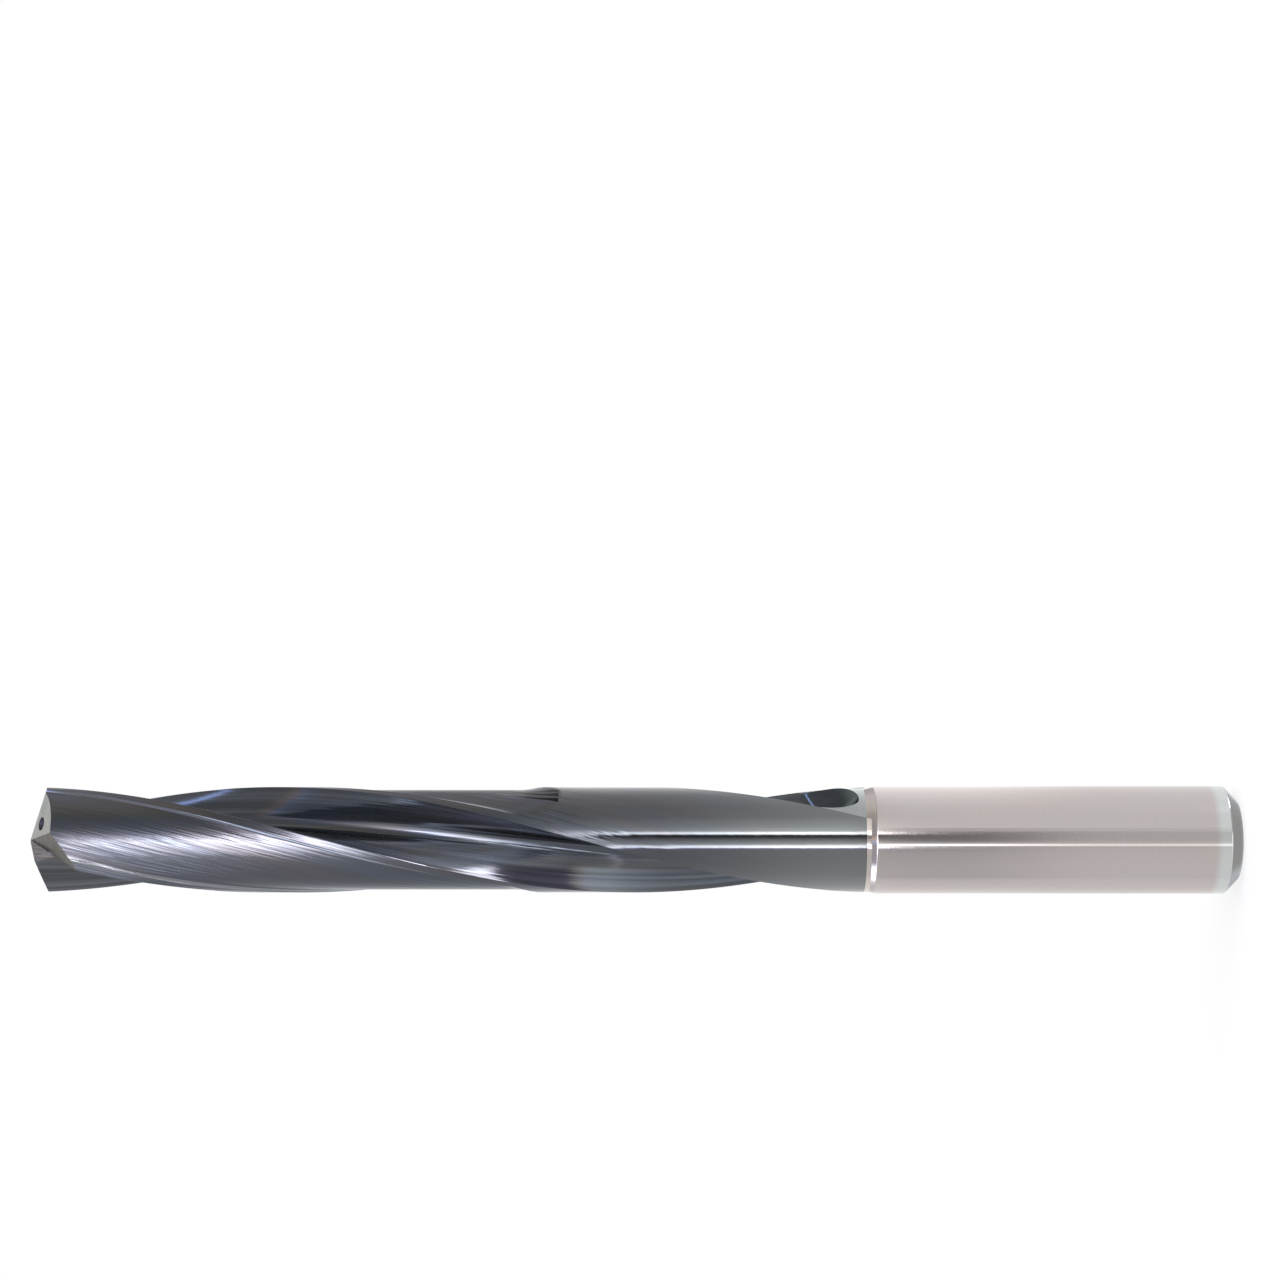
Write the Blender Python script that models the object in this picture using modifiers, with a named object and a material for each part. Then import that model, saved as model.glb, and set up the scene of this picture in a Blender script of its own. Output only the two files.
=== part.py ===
"""Coolant-fed carbide twist drill, standing on the flat end of its shank.

The drill is one piece of sintered carbide, so it is one solid. It has two right-hand helical flutes,
lands with a leading and a trailing margin, a split point ground as three flat facets a lip, two helical
coolant ducts from the shank's end face to the point, and a plain chamfered shank.
The origin is the centre of the shank's end face. +Z runs along the axis to the point. Units are metres.
"""
import math

import bmesh
import bpy
import numpy as np
from mathutils import Matrix, Vector

MM = 0.001

# Lengths along the axis
OVERALL_LENGTH = 134.0 * MM
SHANK_LENGTH = 40.3 * MM  # from the end face to the foot of the cone
CONE_LENGTH = 1.1 * MM  # between the shank and the cutting part
NECK_LENGTH = 0.7 * MM  # between the cone and the end of the flutes
RUNOUT_LENGTH = 6.2 * MM  # where the flutes rise from full depth to nothing
RUNOUT_TURN = math.radians(16.0)  # ahead of the cutting corner; a flute's outline rises this way
CLEARANCE_LENGTH = 58.6 * MM  # from the tip; behind it the lands keep their full diameter
CLEARANCE_RUNOUT = 3.5 * MM  # where the clearance rises to that diameter
CLEARANCE_BOW = 4.6 * MM  # it ends this much nearer the tip along the margins than between them

# Shank and cutting diameters
SHANK_DIAMETER = 12.0 * MM
SHANK_CHAMFER = 1.5 * MM  # at 45 degrees
CUTTING_DIAMETER = 11.7 * MM  # over the margins
CLEARANCE_DIAMETER = 11.06 * MM  # between the margins
NECK_DIAMETER = 11.42 * MM  # where the flutes have run out, and at the cone's small end
WEB_DIAMETER = 3.2 * MM  # the core left between the flutes

# Flutes and margins
HELIX_ANGLE = math.radians(15.0)
FLUTE_OPENING = math.radians(73.6)  # from one land's cutting corner to the next land's heel
ROOT_RADIUS = 1.2 * MM
ROOT_LEAD = math.radians(44.4)  # the root's centre, ahead of the cutting corner
HEEL_RADIUS = 14.3 * MM  # the flute's hollow side below the heel
LEADING_MARGIN = 0.87 * MM
TRAILING_MARGIN = 0.95 * MM
MARGIN_STEP = 0.45 * MM  # width of the hollow from a margin down to the clearance
MARGIN_HOLLOW = 0.75  # depth of that hollow at half its width

# Point, ground alike on both lips
POINT_ANGLE = math.radians(140.0)
PRIMARY_RELIEF = math.radians(7.0)
PRIMARY_WIDTH = 1.25 * MM  # of the first facet, square to the lip
SECONDARY_RELIEF = math.radians(25.5)
HEEL_RELIEF = math.radians(42.0)  # of the third facet, square to its edge
HEEL_FACET_TURN = math.radians(61.4)  # from the lip back to the third facet's edge
THINNING_TURN = math.radians(30.0)  # from the lip forward to its thinned inner part
GASH_ANGLE = math.radians(34.5)  # the gash's floor to the axis
CHISEL_WEB = 0.24 * MM  # carbide left between the two gashes
HEEL_GAP = 0.03 * MM  # the third facet stops this far short of the gash's wall

# Coolant ducts, with the pitch of the flutes
DUCT_DIAMETER = 1.5 * MM
DUCT_ROUNDNESS = 4  # Blender's bevel resolution
DUCT_PITCH_DIAMETER = 6.0 * MM
DUCT_LAG = math.radians(47.1)  # behind the cutting corner

CORNER_AZIMUTH = math.radians(-3.0)  # of the first cutting corner, in the plane of the point

# Fineness of the facets
TURNED_STEPS = 72
SIDE_STEPS = 5
ROOT_STEPS = 6
HEEL_STEPS = 5
MARGIN_STEPS = 2
CLEARANCE_STEPS = 12
TWIST_STEP = math.radians(6.0)
DUCT_TWIST_STEP = math.radians(8.0)
DEEP_RUNOUT_STEPS = 6
CLOSING_RUNOUT_STEPS = 5
CLOSING_LENGTH = 0.9 * MM  # the last of the run-out, where the sections stand closest
BARE_STEPS = 6  # across the bare neck on each side of a rising flute
CLEARANCE_RUNOUT_STEPS = 8

OVERSHOOT = 1.0 * MM  # how far cutters reach past what they cut, and joined pieces into each other
MERGE_DISTANCE = 0.01 * MM
BLOCK_SIZE = 50.0 * MM  # of the blocks that the point's faces are cut with
SHARP_ANGLE = math.radians(30.0)

CUTTING_RADIUS = CUTTING_DIAMETER / 2
CLEARANCE_RADIUS = CLEARANCE_DIAMETER / 2
NECK_RADIUS = NECK_DIAMETER / 2
SHANK_RADIUS = SHANK_DIAMETER / 2
LEAD = math.pi * CUTTING_DIAMETER / math.tan(HELIX_ANGLE)
CONE_TOP = SHANK_LENGTH + CONE_LENGTH
FLUTE_END = CONE_TOP + NECK_LENGTH
FULL_DEPTH_END = FLUTE_END + RUNOUT_LENGTH
CLEARANCE_END = OVERALL_LENGTH - CLEARANCE_LENGTH
FLUTES = 2


def twist(z):
    """Angle by which the helix has turned at height z, from the plane of the point."""
    return (z - OVERALL_LENGTH) * 2 * math.pi / LEAD


def polar(radius, angle):
    return Vector((radius * math.cos(angle), radius * math.sin(angle)))


def arc(centre, radius, start, end, steps):
    return [centre + polar(radius, start + (end - start) * i / steps) for i in range(steps + 1)]


def azimuth(vector):
    return math.atan2(vector.y, vector.x)


def flute_side():
    """Where the flute's straight cutting side leaves the root's arc, and the root's centre."""
    corner = polar(CUTTING_RADIUS, 0)
    root = polar(WEB_DIAMETER / 2 + ROOT_RADIUS, ROOT_LEAD)
    reach = (root - corner).length
    direction = azimuth(root - corner) + math.asin(ROOT_RADIUS / reach)
    touch = corner + polar(math.sqrt(reach**2 - ROOT_RADIUS**2), direction)
    return touch, root


def flute_outline():
    """Flute from the cutting corner, by its straight side, root and heel side, to the next heel."""
    corner = polar(CUTTING_RADIUS, 0)
    heel = polar(CUTTING_RADIUS, FLUTE_OPENING)
    touch, root = flute_side()
    side = [corner.lerp(touch, i / SIDE_STEPS) for i in range(SIDE_STEPS)]
    # The heel side is an arc that touches the root's arc from outside and ends at the heel
    reach = (heel - root).length
    centres = ROOT_RADIUS + HEEL_RADIUS
    bend = math.acos((centres**2 + reach**2 - HEEL_RADIUS**2) / (2 * centres * reach))
    turn = azimuth(heel - root) + bend
    hub = root + polar(centres, turn)
    start = azimuth(touch - root) % (2 * math.pi)
    bottom = arc(root, ROOT_RADIUS, start, turn, ROOT_STEPS)
    upper = arc(hub, HEEL_RADIUS, turn - math.pi, azimuth(heel - hub), HEEL_STEPS)
    return side + bottom + upper[1:]


def margin_angles():
    """A land's heel, the inner edge of its trailing margin, and that of its leading margin."""
    heel = FLUTE_OPENING - 2 * math.pi / FLUTES
    return heel, heel + TRAILING_MARGIN / CUTTING_RADIUS, -LEADING_MARGIN / CUTTING_RADIUS


def land_outline():
    """Land from its heel, by the trailing margin, the clearance and the leading margin, to its corner."""
    heel, trailing, leading = margin_angles()
    step = MARGIN_STEP / CUTTING_RADIUS
    hollow = CUTTING_RADIUS - (CUTTING_RADIUS - CLEARANCE_RADIUS) * MARGIN_HOLLOW
    origin = Vector((0, 0))
    points = arc(origin, CUTTING_RADIUS, heel, trailing, MARGIN_STEPS)
    points.append(polar(hollow, trailing + step / 2))
    points += arc(origin, CLEARANCE_RADIUS, trailing + step, leading - step, CLEARANCE_STEPS)
    points.append(polar(hollow, leading - step / 2))
    return points + arc(origin, CUTTING_RADIUS, leading, 0, MARGIN_STEPS)


def wheel_rise(height, start, length, depth):
    """How far a grinding wheel has risen out of a cut, below the height where it starts to leave it."""
    rim = (length**2 + depth**2) / (2 * depth)
    travel = min(max(start - height, 0), length)
    return rim - math.sqrt(rim**2 - travel**2)


def neck_crossing(outer, inner):
    """Where the line from a point above the neck's surface to one below it goes through."""
    step = inner - outer
    along = outer.dot(step) / step.length_squared
    above = (outer.length_squared - NECK_RADIUS**2) / step.length_squared
    return outer - step * (along + math.sqrt(along**2 - above))


def open_outline(rise):
    """What is left of the flute's outline below the neck's surface when it has risen."""
    points = [point + polar(rise, RUNOUT_TURN) for point in flute_outline()]
    below = [i for i, point in enumerate(points) if point.length < NECK_RADIUS]
    if not below:
        closed = polar(NECK_RADIUS, azimuth(flute_side()[1] + polar(rise, RUNOUT_TURN)))
        return [closed, closed]
    first, last = below[0], below[-1]
    entry = neck_crossing(points[first - 1], points[first])
    way_out = neck_crossing(points[last + 1], points[last])
    return [entry] + points[first : last + 1] + [way_out]


def run_shares(points):
    """Share of a line's length that lies before each of its points."""
    steps = [(end - start).length for start, end in zip(points, points[1:])]
    runs = np.concatenate(([0], np.cumsum(steps)))
    return runs / max(runs[-1], MERGE_DISTANCE)


def flute_points(rise):
    """Points between the flute's edges: bare neck, the open flute, and bare neck again.

    There are as many points at any rise; with no rise, each stretch of neck is a single place.
    """
    full = open_outline(0)
    left = open_outline(rise)
    shares = run_shares(full)[1:-1]
    x = np.interp(shares, run_shares(left), [point.x for point in left])
    y = np.interp(shares, run_shares(left), [point.y for point in left])
    origin = Vector((0, 0))
    near = arc(origin, NECK_RADIUS, azimuth(full[0]), azimuth(left[0]), BARE_STEPS)
    far = arc(origin, NECK_RADIUS, azimuth(left[-1]), azimuth(full[-1]), BARE_STEPS)
    return near + [Vector(point) for point in zip(x, y)] + far


def closing_rise():
    """How far a flute's outline rises until its root is out of the neck."""
    root = flute_side()[1]
    along = root.dot(polar(1, RUNOUT_TURN))
    return math.sqrt(along**2 - root.length_squared + (NECK_RADIUS + ROOT_RADIUS) ** 2) - along


def run_out(bm, place_layer):
    """Ends the clearance and the flutes as a grinding wheel leaves them."""
    relief = CUTTING_RADIUS - CLEARANCE_RADIUS
    depth = closing_rise()
    heel, trailing, leading = margin_angles()
    sections = {}
    for vert in bm.verts:
        turn = CORNER_AZIMUTH + twist(vert.co.z)
        place = vert[place_layer]
        if place != 0:
            rise = wheel_rise(vert.co.z, FULL_DEPTH_END, RUNOUT_LENGTH, depth)
            if rise not in sections:
                sections[rise] = flute_points(rise)
            if place < 0:
                turn += math.pi
            vert.co.xy = Matrix.Rotation(turn, 2) @ sections[rise][abs(place) - 1]
            continue
        turned = heel + (azimuth(vert.co) - turn - heel) % (2 * math.pi / FLUTES)
        across = (2 * turned - trailing - leading) / (leading - trailing)
        start = CLEARANCE_END + CLEARANCE_RUNOUT + CLEARANCE_BOW * across**2
        risen = wheel_rise(vert.co.z, start, CLEARANCE_RUNOUT, relief)
        vert.co.xy *= 1 + (CUTTING_RADIUS / vert.co.xy.length - 1) * risen / relief


def fluted_mesh():
    """Body of the cutting part: one section, swept up the helix and closed at both ends."""
    flute = flute_points(0)
    land = land_outline()
    bm = bmesh.new()
    place_layer = bm.verts.layers.int.new("place")
    bottom = SHANK_LENGTH - OVERSHOOT
    for half in range(FLUTES):
        turn = CORNER_AZIMUTH + twist(bottom) + half * 2 * math.pi / FLUTES
        # Places along a flute count from 1, and below 0 in the second flute; the land's are 0
        places = [0] * len(land) + [(1 - 2 * half) * i for i in range(1, len(flute) + 1)]
        for point, place in zip(land + flute, places):
            co = Matrix.Rotation(turn, 2) @ point
            bm.verts.new((co.x, co.y, bottom))[place_layer] = place
    bm.verts.ensure_lookup_table()
    count = len(bm.verts)
    ring = [bm.edges.new((bm.verts[i], bm.verts[(i + 1) % count])) for i in range(count)]
    ring += list(bm.verts)
    # Each stretch ends at a height and has its own fineness; 0 leaves it to the twist
    stretches = [
        (FLUTE_END, 0),
        (FLUTE_END + CLOSING_LENGTH, CLOSING_RUNOUT_STEPS),
        (FULL_DEPTH_END, DEEP_RUNOUT_STEPS),
        (CLEARANCE_END, 0),
        (CLEARANCE_END + CLEARANCE_RUNOUT + CLEARANCE_BOW, CLEARANCE_RUNOUT_STEPS),
        (OVERALL_LENGTH + OVERSHOOT, 0),
    ]
    low = bottom
    for high, steps in stretches:
        angle = twist(high) - twist(low)
        steps = steps or math.ceil(angle / TWIST_STEP)
        rise = (0, 0, (high - low) / steps)
        swept = bmesh.ops.spin(bm, geom=ring, axis=(0, 0, 1), dvec=rise, angle=angle, steps=steps)
        ring = swept["geom_last"]
        low = high
    run_out(bm, place_layer)
    bmesh.ops.remove_doubles(bm, verts=bm.verts, dist=MERGE_DISTANCE)
    bmesh.ops.holes_fill(bm, edges=[edge for edge in bm.edges if edge.is_boundary])
    bmesh.ops.recalc_face_normals(bm, faces=bm.faces)
    mesh = bpy.data.meshes.new("fluted_body")
    bm.to_mesh(mesh)
    bm.free()
    mesh.shade_smooth()
    mesh.set_sharp_from_angle(angle=SHARP_ANGLE)
    return mesh


def shank_object(material):
    """Shank, its chamfer and the cone, turned; the cone runs on a little way into the fluted body."""
    bury = NECK_LENGTH / 2
    slope = (SHANK_RADIUS - NECK_RADIUS) / CONE_LENGTH
    top = CONE_TOP + bury
    profile = [
        (0, top),
        (NECK_RADIUS - bury * slope, top),
        (SHANK_RADIUS, SHANK_LENGTH),
        (SHANK_RADIUS, SHANK_CHAMFER),
        (SHANK_RADIUS - SHANK_CHAMFER, 0),
        (0, 0),
    ]
    mesh = bpy.data.meshes.new("shank")
    edges = [(i, i + 1) for i in range(len(profile) - 1)]
    mesh.from_pydata([(radius, 0, z) for radius, z in profile], edges, [])
    mesh.materials.append(material)
    shank = bpy.data.objects.new("shank", mesh)
    turned = shank.modifiers.new("turned", "SCREW")
    turned.steps = TURNED_STEPS
    turned.render_steps = TURNED_STEPS
    turned.use_merge_vertices = True
    turned.merge_threshold = MERGE_DISTANCE
    return shank


def duct_mesh(start_azimuth):
    """One helical duct, a round tube from below the end face to above the point."""
    low = -OVERSHOOT
    high = OVERALL_LENGTH + OVERSHOOT
    steps = math.ceil((twist(high) - twist(low)) / DUCT_TWIST_STEP)
    curve = bpy.data.curves.new("duct", "CURVE")
    curve.dimensions = "3D"
    curve.bevel_depth = DUCT_DIAMETER / 2
    curve.bevel_resolution = DUCT_ROUNDNESS
    curve.use_fill_caps = True
    spline = curve.splines.new("POLY")
    spline.points.add(steps)
    for i, point in enumerate(spline.points):
        z = low + (high - low) * i / steps
        place = polar(DUCT_PITCH_DIAMETER / 2, start_azimuth + twist(z))
        point.co = (place.x, place.y, z, 1)
    guide = bpy.data.objects.new("duct", curve)
    bpy.context.scene.collection.objects.link(guide)
    graph = bpy.context.evaluated_depsgraph_get()
    mesh = bpy.data.meshes.new_from_object(guide.evaluated_get(graph))
    bpy.data.objects.remove(guide)
    bm = bmesh.new()
    bm.from_mesh(mesh)
    bmesh.ops.remove_doubles(bm, verts=bm.verts, dist=MERGE_DISTANCE / 10)
    bmesh.ops.recalc_face_normals(bm, faces=bm.faces)
    bm.to_mesh(mesh)
    bm.free()
    return mesh


def point_planes():
    """Faces of the point, each as its slope across X and Y and its depth at the axis, and the gash wall.

    A face lies at the depth slope * place + depth below the tip. The lip's direction follows from
    the flute's straight side, turned by the helix at the depth of its two ends.
    """
    fall = 1 / math.tan(POINT_ANGLE / 2)
    touch = flute_side()[0]
    ends = [touch, polar(CUTTING_RADIUS, 0)]
    inner, corner = [Matrix.Rotation(twist(OVERALL_LENGTH - end.length * fall), 2) @ end for end in ends]
    lip = azimuth(corner - inner)
    along = polar(1, lip)
    back = polar(1, lip - math.pi / 2)
    lip_lead = -corner.dot(back)
    edge = PRIMARY_WIDTH - lip_lead

    primary = along * fall + back * math.tan(PRIMARY_RELIEF)
    secondary = along * fall + back * math.tan(SECONDARY_RELIEF)
    secondary_depth = (primary - secondary).dot(back) * edge

    facet_edge = lip - HEEL_FACET_TURN
    across = polar(1, facet_edge - math.pi / 2)
    heel = secondary + across * (math.tan(HEEL_RELIEF) - secondary.dot(across))
    start = back * edge
    heel_depth = secondary_depth + (secondary - heel).dot(start)

    inner_lip = lip + THINNING_TURN
    floor = polar(1 / math.tan(GASH_ANGLE), inner_lip)
    wall = polar(1, inner_lip + math.pi / 2)
    faces = {
        "primary": (primary, 0.0),
        "secondary": (secondary, secondary_depth),
        "heel": (heel, heel_depth),
        "gash": (floor, 0.0),
    }
    return faces, wall


def point_cutter(name, slope, depth, wall=None, wall_offset=0.0):
    """Block above one face of the point, kept in front of the gash's wall where one is given."""
    bm = bmesh.new()
    bmesh.ops.create_cube(bm, size=BLOCK_SIZE)
    bmesh.ops.translate(bm, verts=bm.verts, vec=(0, 0, OVERALL_LENGTH))
    cuts = [(Vector((0, 0, OVERALL_LENGTH - depth)), Vector((slope.x, slope.y, 1)))]
    if wall is not None:
        cuts.append((wall.to_3d() * wall_offset, wall.to_3d()))
    for place, normal in cuts:
        everything = list(bm.verts) + list(bm.edges) + list(bm.faces)
        bmesh.ops.bisect_plane(bm, geom=everything, plane_co=place, plane_no=normal, clear_inner=True)
        bmesh.ops.holes_fill(bm, edges=[edge for edge in bm.edges if edge.is_boundary])
    bmesh.ops.recalc_face_normals(bm, faces=bm.faces)
    bmesh.ops.rotate(bm, verts=bm.verts, matrix=Matrix.Rotation(CORNER_AZIMUTH, 3, "Z"))
    mesh = bpy.data.meshes.new(name)
    bm.to_mesh(mesh)
    bm.free()
    return mesh


def material(name, colour, roughness):
    made = bpy.data.materials.new(name)
    made.use_nodes = True
    shader = made.node_tree.nodes["Principled BSDF"]
    shader.inputs["Base Color"].default_value = (*colour, 1)
    shader.inputs["Metallic"].default_value = 1
    shader.inputs["Roughness"].default_value = roughness
    return made


def add_cutter(target, cutter, operation, collection):
    cutter.hide_render = True
    cutter.display_type = "WIRE"
    collection.objects.link(cutter)
    boolean = target.modifiers.new(cutter.name, "BOOLEAN")
    boolean.operation = operation
    boolean.object = cutter
    boolean.material_mode = "TRANSFER"
    boolean.solver = "EXACT"


def main():
    for item in list(bpy.data.objects):
        bpy.data.objects.remove(item)
    parts = bpy.data.collections.new("carbide_drill")
    cutters = bpy.data.collections.new("cutters")
    for collection in (parts, cutters):
        bpy.context.scene.collection.children.link(collection)

    coated = material("coated_carbide", (0.20, 0.21, 0.23), 0.3)
    ground = material("ground_carbide", (0.50, 0.47, 0.46), 0.35)
    body = fluted_mesh()
    body.materials.append(coated)
    drill = bpy.data.objects.new("drill", body)
    parts.objects.link(drill)
    add_cutter(drill, shank_object(ground), "UNION", cutters)

    for half in range(FLUTES):
        turn = half * 2 * math.pi / FLUTES
        duct = duct_mesh(CORNER_AZIMUTH - DUCT_LAG + turn)
        duct.materials.append(coated)
        add_cutter(drill, bpy.data.objects.new(f"duct_{half}", duct), "DIFFERENCE", cutters)

    faces, wall = point_planes()
    # With the heel facet short of the wall, the gash alone cuts the inner lip
    walls = {"gash": (wall, CHISEL_WEB / 2), "heel": (-wall, CHISEL_WEB / 2 + HEEL_GAP)}
    for name, (slope, depth) in faces.items():
        mesh = point_cutter(name, slope, depth, *walls.get(name, ()))
        mesh.materials.append(coated)
        for half in range(FLUTES):
            cutter = bpy.data.objects.new(f"{name}_{half}", mesh)
            cutter.rotation_euler.z = half * 2 * math.pi / FLUTES
            add_cutter(drill, cutter, "DIFFERENCE", cutters)


main()
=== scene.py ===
import math

import bmesh
import bpy
from mathutils import Matrix, Vector


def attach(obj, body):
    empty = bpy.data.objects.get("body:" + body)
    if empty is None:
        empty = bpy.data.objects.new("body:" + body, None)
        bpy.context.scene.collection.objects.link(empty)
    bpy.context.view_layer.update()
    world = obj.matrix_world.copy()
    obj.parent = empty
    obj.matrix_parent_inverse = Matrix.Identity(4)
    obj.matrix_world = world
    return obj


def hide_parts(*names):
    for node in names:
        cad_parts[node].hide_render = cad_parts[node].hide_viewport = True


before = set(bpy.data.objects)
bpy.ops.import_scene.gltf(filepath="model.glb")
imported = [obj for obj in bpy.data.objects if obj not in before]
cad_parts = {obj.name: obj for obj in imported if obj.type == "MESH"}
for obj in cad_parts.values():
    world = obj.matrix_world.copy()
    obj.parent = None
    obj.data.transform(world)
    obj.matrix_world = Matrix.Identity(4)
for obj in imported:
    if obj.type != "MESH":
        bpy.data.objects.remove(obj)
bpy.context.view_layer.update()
mm = 0.001
scene = bpy.context.scene
scene.view_settings.view_transform = "Standard"
print("frame loaded")


def lineTo(bm, vert, place, steps=1):
    start = vert.co.copy()
    for i in range(steps):
        vert = bmesh.ops.extrude_vert_indiv(bm, verts=[vert])["verts"][0]
        vert.co = start.lerp(Vector(place), (i + 1) / steps)
    return vert


def arcTo(bm, vert, centre, angle, steps):
    swept = bmesh.ops.spin(bm, geom=[vert], cent=centre, axis=(0, 0, 1), angle=angle, steps=steps)
    return [part for part in swept["geom_last"] if isinstance(part, bmesh.types.BMVert)][0]


def polar(radius, angle):
    return Vector((radius * math.cos(angle), radius * math.sin(angle), 0))


def azimuth(vector):
    return math.atan2(vector.y, vector.x)


def openEdges(bm):
    return [edge for edge in bm.edges if edge.is_boundary]


def meshFrom(bm, name):
    mesh = bpy.data.meshes.new(name)
    bm.to_mesh(mesh)
    bm.free()
    return mesh


drill = {
    "overallLength": 134.0 * mm,
    "shankLength": 40.3 * mm,
    "coneLength": 1.1 * mm,
    "neckLength": 0.7 * mm,
    "runoutLength": 6.2 * mm,
    "runoutTurn": math.radians(16.0),
    "bareSteps": 10,
    "hair": 0.001 * mm,
    "bareLeast": math.radians(1.5),
    "clearanceLength": 58.6 * mm,
    "clearanceRunout": 3.5 * mm,
    "clearanceBow": 4.6 * mm,
    "shankRadius": 6.0 * mm,
    "shankChamfer": 1.5 * mm,
    "cuttingRadius": 5.85 * mm,
    "clearanceRadius": 5.53 * mm,
    "neckRadius": 5.71 * mm,
    "webRadius": 1.6 * mm,
    "helixAngle": math.radians(15.0),
    "fluteOpening": math.radians(73.6),
    "rootRadius": 1.2 * mm,
    "rootLead": math.radians(44.4),
    "heelRadius": 14.3 * mm,
    "leadingMargin": 0.87 * mm,
    "trailingMargin": 0.95 * mm,
    "leadingFillet": 0.5 * mm,
    "trailingFillet": 0.8 * mm,
    "edgeHone": 0.07 * mm,
    "rimRounding": 0.06 * mm,
    "holdingLoop": 0.15 * mm,
    "cornerAzimuth": math.radians(-3.0),
    "twistStep": math.radians(1.5),
    "closingLength": 0.15 * mm,
    "mouthLength": 0.9 * mm,
    "overlap": 1.0 * mm,
    "pinch": 0.9999,
    "mergeWithin": 0.005 * mm,
    "nearCorner": 0.01 * mm,
    "shankSides": 160,
    "sharpFrom": math.radians(12.0),
}

# How many edges each stretch of the section gets
sectionSteps = {
    "margin": 3,
    "trailingFillet": 5,
    "clearance": 16,
    "leadingFillet": 8,
    "rake": 8,
    "root": 14,
    "heelSide": 12,
}
bodySlots = {"land": 0, "flute": 1, "facets": 2, "neck": 3, "bare": 4}
shankSlots = {"ground": 0, "cone": 1, "chamfer": 2}

point = {
    "angle": math.radians(140.0),
    "primaryRelief": math.radians(7.0),
    "primaryWidth": 1.25 * mm,
    "secondaryRelief": math.radians(25.5),
    "heelRelief": math.radians(42.0),
    "heelFacetTurn": math.radians(61.4),
    "thinningTurn": math.radians(30.0),
    "gashAngle": math.radians(34.5),
    "chiselWeb": 0.24 * mm,
    "heelGap": 0.03 * mm,
    "cutterSize": 40.0 * mm,
}

ducts = {
    "radius": 0.75 * mm,
    "pitchRadius": 3.0 * mm,
    "lag": math.radians(47.1),
    "sides": 32,
    "twistStep": math.radians(3.0),
}

lead = 2 * math.pi * drill["cuttingRadius"] / math.tan(drill["helixAngle"])
turnPerMetre = 2 * math.pi / lead
coneTop = drill["shankLength"] + drill["coneLength"]
fluteEnd = coneTop + drill["neckLength"]
fullDepthEnd = fluteEnd + drill["runoutLength"]
clearanceEnd = drill["overallLength"] - drill["clearanceLength"]


def twistAt(z):
    return (z - drill["overallLength"]) * turnPerMetre


def newNode(tree, kind, **settings):
    node = tree.nodes.new(kind)
    for name, value in settings.items():
        setattr(node, name, value)
    return node


def feed(tree, target, source):
    # Numbers and colours are set on the socket, sockets are linked
    if isinstance(source, bpy.types.NodeSocket):
        tree.links.new(source, target)
    elif source is not None:
        target.default_value = source


def feedNamed(tree, node, **sources):
    # A space in a socket's name is written as an underscore
    for name, source in sources.items():
        feed(tree, node.inputs[name.replace("_", " ")], source)
    return node.outputs[0]


def mathNode(tree, operation, first, second=None, third=None):
    node = newNode(tree, "ShaderNodeMath", operation=operation)
    for target, source in zip(node.inputs, (first, second, third)):
        feed(tree, target, source)
    return node.outputs[0]


def vectorNode(tree, operation, first, second=None):
    node = newNode(tree, "ShaderNodeVectorMath", operation=operation)
    for target, source in zip(node.inputs, (first, second)):
        feed(tree, target, source)
    return node.outputs["Value" if operation == "LENGTH" else "Vector"]


def splitNode(tree, vector):
    node = newNode(tree, "ShaderNodeSeparateXYZ")
    feed(tree, node.inputs[0], vector)
    return node.outputs


def smoothBetween(tree, value, low, high, least=0.0):
    node = newNode(tree, "ShaderNodeMapRange", interpolation_type="SMOOTHSTEP")
    return feedNamed(tree, node, Value=value, From_Min=low, From_Max=high, To_Min=least)


def rampNode(tree, factor, stops):
    node = newNode(tree, "ShaderNodeValToRGB")
    ramp = node.color_ramp
    while len(ramp.elements) < len(stops):
        ramp.elements.new(1.0)
    for element, (place, value) in zip(ramp.elements, stops):
        element.position = place
        element.color = (value, value, value, 1) if isinstance(value, (int, float)) else (*value, 1)
    feed(tree, node.inputs[0], factor)
    return node.outputs[0]


def mixColour(tree, factor, first, second, blend="MIX"):
    node = newNode(tree, "ShaderNodeMix", data_type="RGBA", blend_type=blend)
    feed(tree, node.inputs["Factor"], factor)
    for socket, source in ((node.inputs[6], first), (node.inputs[7], second)):
        feed(tree, socket, (*source, 1) if isinstance(source, tuple) else source)
    return node.outputs[2]


def turnNode(tree, place, angle):
    node = newNode(tree, "ShaderNodeVectorRotate", rotation_type="Z_AXIS")
    return feedNamed(tree, node, Vector=place, Angle=angle)


def stretchedNoise(tree, place, scales, detail):
    stretch = newNode(tree, "ShaderNodeCombineXYZ")
    for socket, scale in zip(stretch.inputs, scales):
        feed(tree, socket, scale)
    scaled = vectorNode(tree, "MULTIPLY", place, stretch.outputs[0])
    return feedNamed(tree, newNode(tree, "ShaderNodeTexNoise"), Vector=scaled, Scale=1.0, Detail=detail)


def newGroup(name, output, **numbers):
    # Every group reads a place and numbers, and gives one number
    group = bpy.data.node_groups.new(name, "ShaderNodeTree")
    group.interface.new_socket("Place", in_out="INPUT", socket_type="NodeSocketVector")
    for socketName, value in numbers.items():
        socket = group.interface.new_socket(socketName, in_out="INPUT", socket_type="NodeSocketFloat")
        socket.default_value = value
    group.interface.new_socket(output, in_out="OUTPUT", socket_type="NodeSocketFloat")
    return group, group.nodes.new("NodeGroupInput").outputs, group.nodes.new("NodeGroupOutput").inputs[output]


def placeGroup(tree, group, **values):
    return feedNamed(tree, newNode(tree, "ShaderNodeGroup", node_tree=group), **values)


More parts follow.
